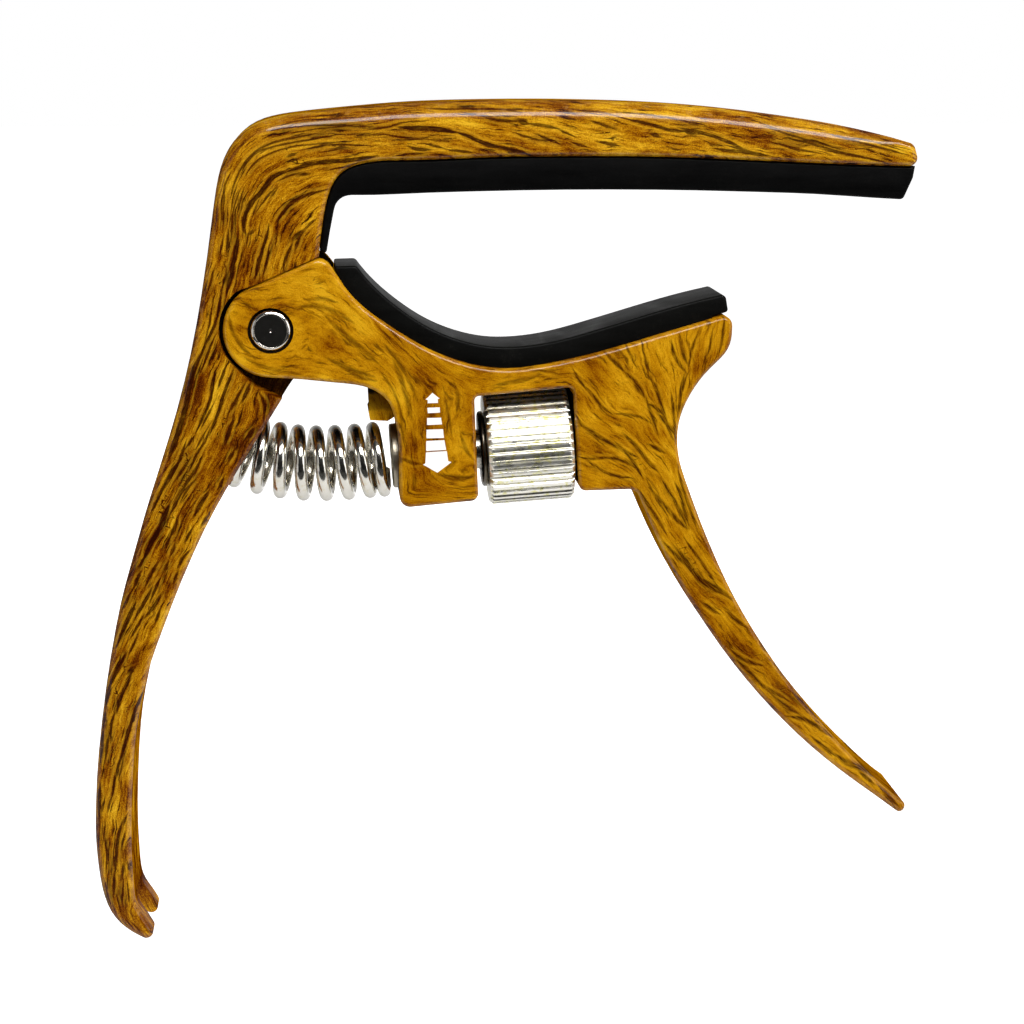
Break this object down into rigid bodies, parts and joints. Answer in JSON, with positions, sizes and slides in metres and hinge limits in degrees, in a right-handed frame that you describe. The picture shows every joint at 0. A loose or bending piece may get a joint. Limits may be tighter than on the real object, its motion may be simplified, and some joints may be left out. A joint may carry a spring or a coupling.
{
  "type": "guitar capo",
  "caption": "Trigger capo: sprung upper arm with a string pad closes on a padded lower jaw; two squeeze handles, a forked handle tip and a knurled preload wheel.",
  "frame": {"origin": "centre of the bounding box of the closed capo, in the mid plane between the two flanks", "axes": "+X along the string bar from the corner to its nose, +Y from the front flank to the rear flank, +Z from the handles up to the string bar"},
  "size_m": [0.0814, 0.0112, 0.0826],
  "materials": {
    "wood_film_casting": "glossy wood-grain film",
    "pad_rubber": "satin",
    "pin_steel": "polished",
    "washer_plastic": "matte",
    "spring_steel": "bright nickel plate",
    "dark_steel": "black oxide",
    "screw_steel": "bright",
    "wheel_nickel": "bright nickel plate"
  },
  "bodies": {
    "lower_jaw": {"lower_jaw": "wood_film_casting", "neck_pad": "pad_rubber", "pivot_pin": "pin_steel", "pivot_washer_front": "washer_plastic", "pivot_washer_rear": "washer_plastic", "spring": "spring_steel", "thumb_washer": "dark_steel", "thrust_washer": "washer_plastic"},
    "upper_arm": {"upper_arm": "wood_film_casting", "string_pad": "pad_rubber"},
    "thumbwheel": {"thumbwheel": "wheel_nickel"},
    "adjusting_screw": {"adjusting_screw": "screw_steel", "spring_seat_disc": "dark_steel"}
  },
  "joints": [
    {"name": "jaw_pivot", "type": "hinge", "parent": "lower_jaw", "child": "upper_arm", "pos_m": [-0.02253, 0, 0.01966], "axis": [0, -1, 0], "range_deg": [0, 19.5], "stiffness_Nm_per_rad": 2.5, "springref_deg": -8.88, "deforming": ["spring"]},
    {"name": "wheel_spin", "type": "hinge", "parent": "lower_jaw", "child": "thumbwheel", "pos_m": [0.00256, 0, 0.00743], "axis": [0.9978, 0, 0.0663], "range_deg": [0, 720]},
    {"name": "screw_slide", "type": "slide", "parent": "lower_jaw", "child": "adjusting_screw", "axis": [-0.9978, 0, -0.0663], "range_m": [0, 0.0014], "deforming": ["spring"]}
  ],
  "couplings": [
    {"joint": "screw_slide", "follows": "wheel_spin", "m_per_rad": 0.0001114}
  ]
}
